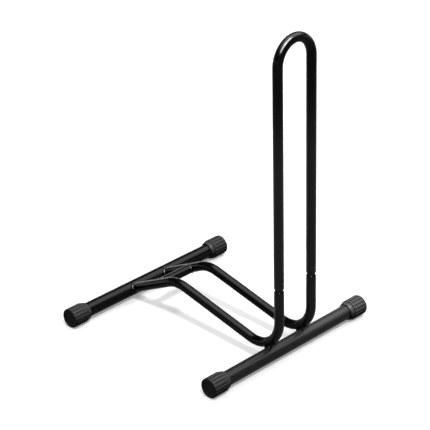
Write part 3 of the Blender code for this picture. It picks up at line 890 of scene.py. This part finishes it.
def cap_plastic():
    """Satin black polyethylene with a fine leathery grain, greyed where it faces up by dust and painted top
    light.

    The grey is strongest as a painted highlight on the ribs and the collar's crown, and thin as painted shade
    in flutes and groove.
    """
    material, tree, shader = new_material("cap_plastic")
    where = node(tree, "ShaderNodeTexCoord", (-1700, 0)).outputs
    grain = noise(tree, (-700, 140), where["Object"], GRAIN_PER_METRE, detail=5, roughness=0.6)
    shine = noise(tree, (-700, -120), where["Object"], SHINE_PER_METRE, detail=4)
    # lighter film on what faces up: fine dust, and painted top light
    dust = use_group(tree, DUST_AND_TOP_LIGHT, (-420, 460), {
        "Position": where["Object"],
        "Facing": where["Normal"],
        "Low": -0.2,
        "High": 0.8,
        "Least": 0.6,
    })
    proud = proud_of_cap(tree, where["Object"])
    # painted highlight on ribs and collar crown, painted shade in flutes and groove
    rib_highlight_share = ramp(tree, (-380, 800), proud, (0, FLUTE_SHADE_SHARE), (1, 1), easing="LINEAR")
    dust_and_highlight = combined(tree, (-200, 620), "MULTIPLY", dust["Amount"], rib_highlight_share)
    tint = blend(tree, (-420, 200), grain, PLASTIC_BLACK, PLASTIC_WORN)
    sheen = ramp(tree, (-20, 620), dust_and_highlight, (0, SHEEN_CLEAN), (1, SHEEN_AT_FULL_FILM), easing="LINEAR")
    set_inputs(tree, shader, {
        "Base Color": blend(tree, (-20, 300), dust_and_highlight, tint, PLASTIC_DUST_AND_LIGHT),
        "Roughness": cloudy(tree, (-420, -60), shine, PLASTIC_GLOSS),
        "Specular IOR Level": 0,
        "Normal": relief(tree, (-420, -320), grain, GRAIN_DEPTH),
        "Coat Weight": sheen,
        "Coat Roughness": SHEEN_ROUGHNESS,
    })
    return material


cap_finish = cap_plastic()
for end, x in (("front", FRONT_AXIS_X), ("rear", REAR_AXIS_X)):
    for side, sign in SIDES.items():
        name = end + "_" + side + "_cap"
        mesh = cap_mesh(name + "_moulded")
        place = Matrix.Translation((x, sign * cap_high.y, CROSS_AXIS_Z))
        mesh.transform(place @ Matrix.Rotation(sign * math.pi / 2, 4, "X"))
        cap = piece(name + "_moulded", mesh, cap_finish)
        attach(cap, "base")
        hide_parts(name)

# Hoop
# The tall inverted U that holds the wheel upright: one steel tube bent through a half circle. Its legs plug
# over the rails' spigots, with a softened lower edge and a countersunk hole for a set screw in front.
HOOP_WALL = 0.0023
LEG_END_INSET = 0.0019
LEG_END_HEIGHT = 0.0032
LEG_END_STEPS = 6
LEG_END_BURR = 0.0002
SCREW_HEIGHT = sum(corner.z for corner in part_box("left_joint_screw")) / 2
SCREW_HOLE_RADIUS = 0.0033
COUNTERSINK_RADIUS = 0.0058
COUNTERSINK_DEPTH = 0.0017
COUNTERSINK_STEPS = 8
RINGS_AT_HOLE = 7
RING_STEP_AT_HOLE = 0.001
HOOP_SIDES = 96
HOLE_SIDES = 48
HOOP_GLOSS = (0.15, 0.20)
LEG_GLAZE_SIDE = 0.18
LEG_GLAZE_UP_TO = 0.45
CROWN_GLAZE_SIDE = 0.035
CROWN_GLAZE_FROM = 0.66

steps_at_hole = range(-RINGS_AT_HOLE, RINGS_AT_HOLE + 1)
heights_at_hole = [SCREW_HEIGHT + RING_STEP_AT_HOLE * step for step in steps_at_hole]


def leg_profile():
    """(height, radius) up a leg's outside from its softened lower edge to the start of the bend."""
    profile = []
    for step in range(LEG_END_STEPS + 1):
        turn = math.pi / 2 * step / LEG_END_STEPS
        height = hoop_low.z + LEG_END_HEIGHT * (1 - math.cos(turn))
        profile.append((height, RAIL_RADIUS - LEG_END_INSET * (1 - math.sin(turn))))
    return profile + [(height, RAIL_RADIUS) for height in heights_at_hole]


def hoop_line(legs, radius):
    """(centre, radius) pairs up the right leg, round the half circle and down the left leg."""
    shoulder = hoop_high.z - RAIL_RADIUS - HALF_SPACING
    line = [(Vector((UPRIGHT_X, -HALF_SPACING, height)), r) for height, r in legs]
    steps = math.ceil(math.pi / BEND_STEP)
    for step in range(steps + 1):
        turn = math.pi * (1 - step / steps)
        bend = HALF_SPACING * Vector((0, math.cos(turn), math.sin(turn)))
        line.append((Vector((UPRIGHT_X, 0, shoulder)) + bend, radius))
    return line + [(Vector((UPRIGHT_X, HALF_SPACING, height)), r) for height, r in reversed(legs)]


def drill_mesh(name, y):
    """What a tap drill and a countersink take out of a leg's front, with the paint's soft edge."""
    profile = [(COUNTERSINK_RADIUS, 2 * RAIL_RADIUS)]
    for step in range(COUNTERSINK_STEPS + 1):
        turn = math.pi / 2 * step / COUNTERSINK_STEPS
        radius = COUNTERSINK_RADIUS - (COUNTERSINK_RADIUS - SCREW_HOLE_RADIUS) * math.sin(turn)
        profile.append((radius, RAIL_RADIUS - COUNTERSINK_DEPTH * (1 - math.cos(turn))))
    profile.append((SCREW_HOLE_RADIUS, SPIGOT_FLAT_FROM_AXIS))
    work = bmesh.new()
    rings = []
    for radius, out in profile:
        rings.append([
            work.verts.new((out, radius * math.cos(turn), radius * math.sin(turn)))
            for turn in turns_round(HOLE_SIDES)
        ])
    join_rings(work, rings)
    work.faces.new(rings[0])
    work.faces.new(rings[-1])
    mesh = finished_mesh(name, work)
    mesh.transform(Matrix.Translation((UPRIGHT_X, y, SCREW_HEIGHT)))
    return mesh


def hoop_mesh(name):
    """The hoop's wall, drilled and countersunk in the front of both legs."""
    bore = RAIL_RADIUS - HOOP_WALL
    inside_leg = [(hoop_low.z, bore + LEG_END_BURR), (hoop_low.z + LEG_END_BURR, bore)]
    inside_leg += [(height, bore) for height in heights_at_hole]
    work = bmesh.new()
    outer = rings_along(work, hoop_line(leg_profile(), RAIL_RADIUS), AXIS_X, HOOP_SIDES)
    inner = rings_along(work, hoop_line(inside_leg, bore), AXIS_X, HOOP_SIDES)
    join_rings(work, outer + inner[::-1] + outer[:1])
    blank = bpy.data.objects.new(name, finished_mesh(name, work))
    bpy.context.scene.collection.objects.link(blank)
    drills = []
    for side, sign in SIDES.items():
        drill = bpy.data.objects.new(side + "_drill", drill_mesh(side + "_drill", sign * HALF_SPACING))
        bpy.context.scene.collection.objects.link(drill)
        cut = blank.modifiers.new(side + "_screw_hole", "BOOLEAN")
        cut.object = drill
        cut.operation = "DIFFERENCE"
        drills.append(drill)
    bpy.context.view_layer.update()
    drilled = bpy.data.meshes.new_from_object(blank.evaluated_get(bpy.context.evaluated_depsgraph_get()))
    for spare in [blank] + drills:
        bpy.data.objects.remove(spare, do_unlink=True)
    drilled.name = name
    drilled.shade_smooth()
    drilled.set_sharp_from_angle(angle=math.radians(TUBE_CREASE))
    return drilled


hoop_paint = powder_coat("hoop_paint", cloud=26, gloss=HOOP_GLOSS, glaze={
    "Along": AXIS_Z,
    "Start": LEG_GLAZE_UP_TO,
    "End": CROWN_GLAZE_FROM,
    "Near": LEG_GLAZE_SIDE,
    "Far": CROWN_GLAZE_SIDE,
    "Top": GLAZE_FULL,
})
hoop = piece("hoop_painted", hoop_mesh("hoop_painted"), hoop_paint)
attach(hoop, "upper_hoop")
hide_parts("hoop")

# Set screws
# A short socket set screw in each leg, black-oxide steel, sunk below the countersink. Its point bears on the
# spigot's flat, so that the leg can't turn or lift until it is slackened.
screw_low, screw_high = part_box("left_joint_screw")
SCREW_RADIUS = (screw_high.z - screw_low.z) / 2
SCREW_CHAMFER = 0.0004
THREAD_PITCH = 0.0010
THREAD_DEPTH = 0.00055
THREAD_ROOT = SCREW_RADIUS - THREAD_DEPTH
THREAD_STEPS = 30
THREAD_RUN_OUT = 1 / 8
SOCKET_HALF_FLATS = 0.0015
SOCKET_DEPTH = 0.0020
SOCKET_FLOOR_MIDDLE = 0.0003
SOCKET_EDGE = 0.0002
SCREW_COLUMNS = 96


def screw_mesh(name, y):
    """A threaded slug along +X with a hexagon socket in its outer face."""
    length = screw_high.x - screw_low.x
    work = bmesh.new()
    rings = []

    def add_ring(reach, along):
        rings.append([
            work.verts.new((along, reach(turn) * math.cos(turn), reach(turn) * math.sin(turn)))
            for turn in turns_round(SCREW_COLUMNS)
        ])

    def hexagon(turn):
        return SOCKET_HALF_FLATS / math.cos((turn + math.pi / 6) % (math.pi / 3) - math.pi / 6)

    add_ring(lambda turn: SOCKET_FLOOR_MIDDLE, length - SOCKET_DEPTH)
    add_ring(hexagon, length - SOCKET_DEPTH)
    add_ring(hexagon, length - SOCKET_EDGE)
    add_ring(lambda turn: hexagon(turn) + SOCKET_EDGE, length)
    add_ring(lambda turn: THREAD_ROOT - SCREW_CHAMFER / 2, length)
    for step in range(THREAD_STEPS + 1):
        share = step / THREAD_STEPS
        along = (length - SCREW_CHAMFER) * (1 - share) + SCREW_CHAMFER / 2
        ends = min(1.0, min(share, 1 - share) / THREAD_RUN_OUT)

        def threaded(turn, along=along, ends=ends):
            phase = (along / THREAD_PITCH - turn / (2 * math.pi)) % 1
            return SCREW_RADIUS - THREAD_DEPTH * (1 - ends * (1 - abs(2 * phase - 1)))

        add_ring(threaded, along)
    add_ring(lambda turn: THREAD_ROOT - SCREW_CHAMFER, 0)
    join_rings(work, rings)
    work.faces.new(rings[0])
    work.faces.new(rings[-1])
    mesh = finished_mesh(name, work)
    mesh.transform(Matrix.Translation((screw_low.x, y, SCREW_HEIGHT)))
    return mesh


WEAR_PER_METRE = 900
# darker than real black oxide: painted shade for the screw's recess in the leg
OXIDE_BLACK_SHADED = (0.002, 0.002, 0.002, 1)
OXIDE_RUBBED_SHADED = (0.008, 0.008, 0.008, 1)
OXIDE_OILY = 0.28
OXIDE_DRY = 0.48


def black_oxide_and_hole_shade():
    """Black-oxide steel: dark, thin and slightly oily, with brighter steel where a key has rubbed it.

    Its colour is held darker than real oxide, as painted shade for the recess that the screw sits in.
    """
    material, tree, shader = new_material("black_oxide_steel")
    where = node(tree, "ShaderNodeTexCoord", (-700, 0)).outputs["Object"]
    wear = noise(tree, (-500, 0), where, WEAR_PER_METRE, detail=5)
    set_inputs(tree, shader, {
        "Base Color": blend(tree, (-260, 120), wear, OXIDE_BLACK_SHADED, OXIDE_RUBBED_SHADED),
        "Metallic": 1,
        "Roughness": ramp(tree, (-260, -120), wear, (0, OXIDE_OILY), (1, OXIDE_DRY), easing="LINEAR"),
    })
    return material


screw_finish = black_oxide_and_hole_shade()
for side, sign in SIDES.items():
    name = side + "_joint_screw"
    screw = piece(name + "_blackened", screw_mesh(name + "_blackened", sign * HALF_SPACING), screw_finish)
    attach(screw, "upper_hoop")
    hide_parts(name)

# Studio floor
# A broad sheet of pale paper, flat under the stand and far round it, that curves up into a low wall. The
# camera and the paint's gloss see it a little whiter than the lamps light it, and the shadows stay.
FLOOR_RADIUS = 9.0
FLOOR_CURVE = 2.0
FLOOR_INNER_RADII = (0.5, 3.0)
FLOOR_COLUMNS = 128
FLOOR_CREASE = 60
CURVE_STEP = math.radians(10)
CURVE_STEPS = 9
WHITE = (1, 1, 1, 1)
PAPER = (0.94, 0.94, 0.94, 1)
PAPER_ROUGHNESS = 0.9
PAPER_LIFT = 0.30


def floor_mesh(name):
    """Flat rings, then a quarter circle up to the wall's top. The sheet faces up and inwards."""
    profile = [(radius, 0) for radius in (*FLOOR_INNER_RADII, FLOOR_RADIUS)]
    for step in range(1, CURVE_STEPS + 1):
        turn = CURVE_STEP * step
        profile.append((FLOOR_RADIUS + FLOOR_CURVE * math.sin(turn), FLOOR_CURVE * (1 - math.cos(turn))))
    work = bmesh.new()
    rings = []
    for radius, height in profile:
        rings.append([
            work.verts.new((radius * math.cos(turn), radius * math.sin(turn), height))
            for turn in turns_round(FLOOR_COLUMNS)
        ])
    join_rings(work, rings)
    work.faces.new(rings[0])
    mesh = finished_mesh(name, work, crease=FLOOR_CREASE)
    mesh.flip_normals()
    return mesh


def floor_paper():
    """Matt white paper, lifted for rays that look at it, straight or in a gloss, but not for its bounce."""
    material, tree, shader = new_material("floor_paper")
    ray = node(tree, "ShaderNodeLightPath", (-700, 0)).outputs
    seen = combined(tree, (-500, 0), "MAXIMUM", ray["Is Camera Ray"], ray["Is Glossy Ray"])
    seen_or_through = combined(tree, (-340, 0), "MAXIMUM", seen, ray["Is Transmission Ray"])
    set_inputs(tree, shader, {
        "Base Color": PAPER,
        "Roughness": PAPER_ROUGHNESS,
        "Specular IOR Level": 0,
        "Emission Color": WHITE,
        "Emission Strength": combined(tree, (-180, 0), "MULTIPLY", seen_or_through, PAPER_LIFT),
    })
    return material


piece("studio_floor", floor_mesh("studio_floor"), floor_paper())

# Studio light
# Two soft boxes, a long one across the stand overhead and a round one high to the left, in a dim room. A
# small key lamp high over the front draws the shadows. A long strip in its place shows only in the gloss.
ROOM_LIGHT = 0.04
OVERHEAD_BOX = {"azimuth": 174, "height": 71, "along": 37, "across": 11, "light": 3.1}
SIDE_BOX = {"azimuth": 78, "height": 50, "along": 25, "across": 25, "light": 2.5}
BOX_RIM = 1.45
BOX_CORE = 0.45
KEY_AZIMUTH = math.radians(-20)
KEY_HEIGHT = math.radians(61)
KEY_LIGHT = 1.55
KEY_WIDTH = math.radians(7)
STRIP_AWAY = 4.0
STRIP_LENGTH = 4.0
STRIP_WIDTH = 1.9
STRIP_POWER = 450
STRIP_RUN = Vector((0.183, -0.940, -0.287))


def towards(azimuth, height):
    """The direction at an azimuth from +X and a height above the horizon."""
    level = Vector((math.cos(azimuth), math.sin(azimuth), 0))
    return math.cos(height) * level + math.sin(height) * AXIS_Z


def soft_box(tree, where, azimuth, height, along, across, light):
    """A patch of sky that fades at its rim. along, nearest to Y, and across are half widths in degrees."""
    middle = towards(math.radians(azimuth), math.radians(height))
    short = AXIS_Y.cross(middle).normalized()
    long = middle.cross(short)
    spread = node(tree, "ShaderNodeCombineXYZ", (-540, 0), {
        "X": length_along(tree, (-720, 100), where, long / math.sin(math.radians(along))),
        "Y": length_along(tree, (-720, -100), where, short / math.sin(math.radians(across))),
    })
    reach = combined_vectors(tree, (-360, 0), "LENGTH", spread.outputs["Vector"], result="Value")
    return ramp(tree, (-180, 0), reach, (BOX_RIM, 0), (BOX_CORE, light))


world = bpy.data.worlds.new("studio")
bpy.context.scene.world = world
world.use_nodes = True
sky = world.node_tree
direction = node(sky, "ShaderNodeTexCoord", (-900, 0)).outputs["Generated"]
overhead = soft_box(sky, direction, **OVERHEAD_BOX)
brightest = combined(sky, (0, 0), "MAXIMUM", overhead, soft_box(sky, direction, **SIDE_BOX))
set_inputs(sky, sky.nodes["Background"], {
    "Color": WHITE,
    "Strength": combined(sky, (160, 0), "ADD", brightest, ROOM_LIGHT),
})

key = bpy.data.lights.new("key_lamp", "SUN")
key.energy = KEY_LIGHT
key.angle = KEY_WIDTH
key_lamp = bpy.data.objects.new("key_lamp", key)
key_direction = towards(KEY_AZIMUTH, KEY_HEIGHT)
key_lamp.rotation_euler = key_direction.to_track_quat("Z", "Y").to_euler()
bpy.context.scene.collection.objects.link(key_lamp)

strip = bpy.data.lights.new("strip_lamp", "AREA")
strip.shape = "RECTANGLE"
strip.size = STRIP_LENGTH
strip.size_y = STRIP_WIDTH
strip.energy = STRIP_POWER
strip_lamp = bpy.data.objects.new("strip_lamp", strip)
strip_across = key_direction.cross(STRIP_RUN).normalized()
strip_turn = Matrix((strip_across.cross(key_direction), strip_across, key_direction)).transposed()
strip_lamp.matrix_world = Matrix.Translation(key_direction * STRIP_AWAY) @ strip_turn.to_4x4()
strip_lamp.visible_diffuse = False
bpy.context.scene.collection.objects.link(strip_lamp)

# Camera
# A long lens well in front of the stand's right side and above it, tipped down, with a slight roll.
CAMERA_AZIMUTH = math.radians(45)
CAMERA_HEIGHT = math.radians(26.7)
CAMERA_ROLL = math.radians(1.367)
CAMERA_AIM = Vector((0.01547, -0.01500, 0.28039))
CAMERA_DISTANCE = 4.090
LENS_MM = 156.28
SENSOR_MM = 36

camera_data = bpy.data.cameras.new("camera")
camera_data.lens = LENS_MM
camera_data.sensor_width = SENSOR_MM
camera = bpy.data.objects.new("camera", camera_data)
back = Vector((
    math.sin(CAMERA_AZIMUTH) * math.cos(CAMERA_HEIGHT),
    -math.cos(CAMERA_AZIMUTH) * math.cos(CAMERA_HEIGHT),
    math.sin(CAMERA_HEIGHT),
))
camera.location = CAMERA_AIM + CAMERA_DISTANCE * back
level_view = back.to_track_quat("Z", "Y").to_matrix()
camera.rotation_euler = (level_view @ Matrix.Rotation(-CAMERA_ROLL, 3, "Z")).to_euler()
bpy.context.scene.collection.objects.link(camera)
bpy.context.scene.camera = camera

bpy.context.scene.view_settings.view_transform = "Standard"
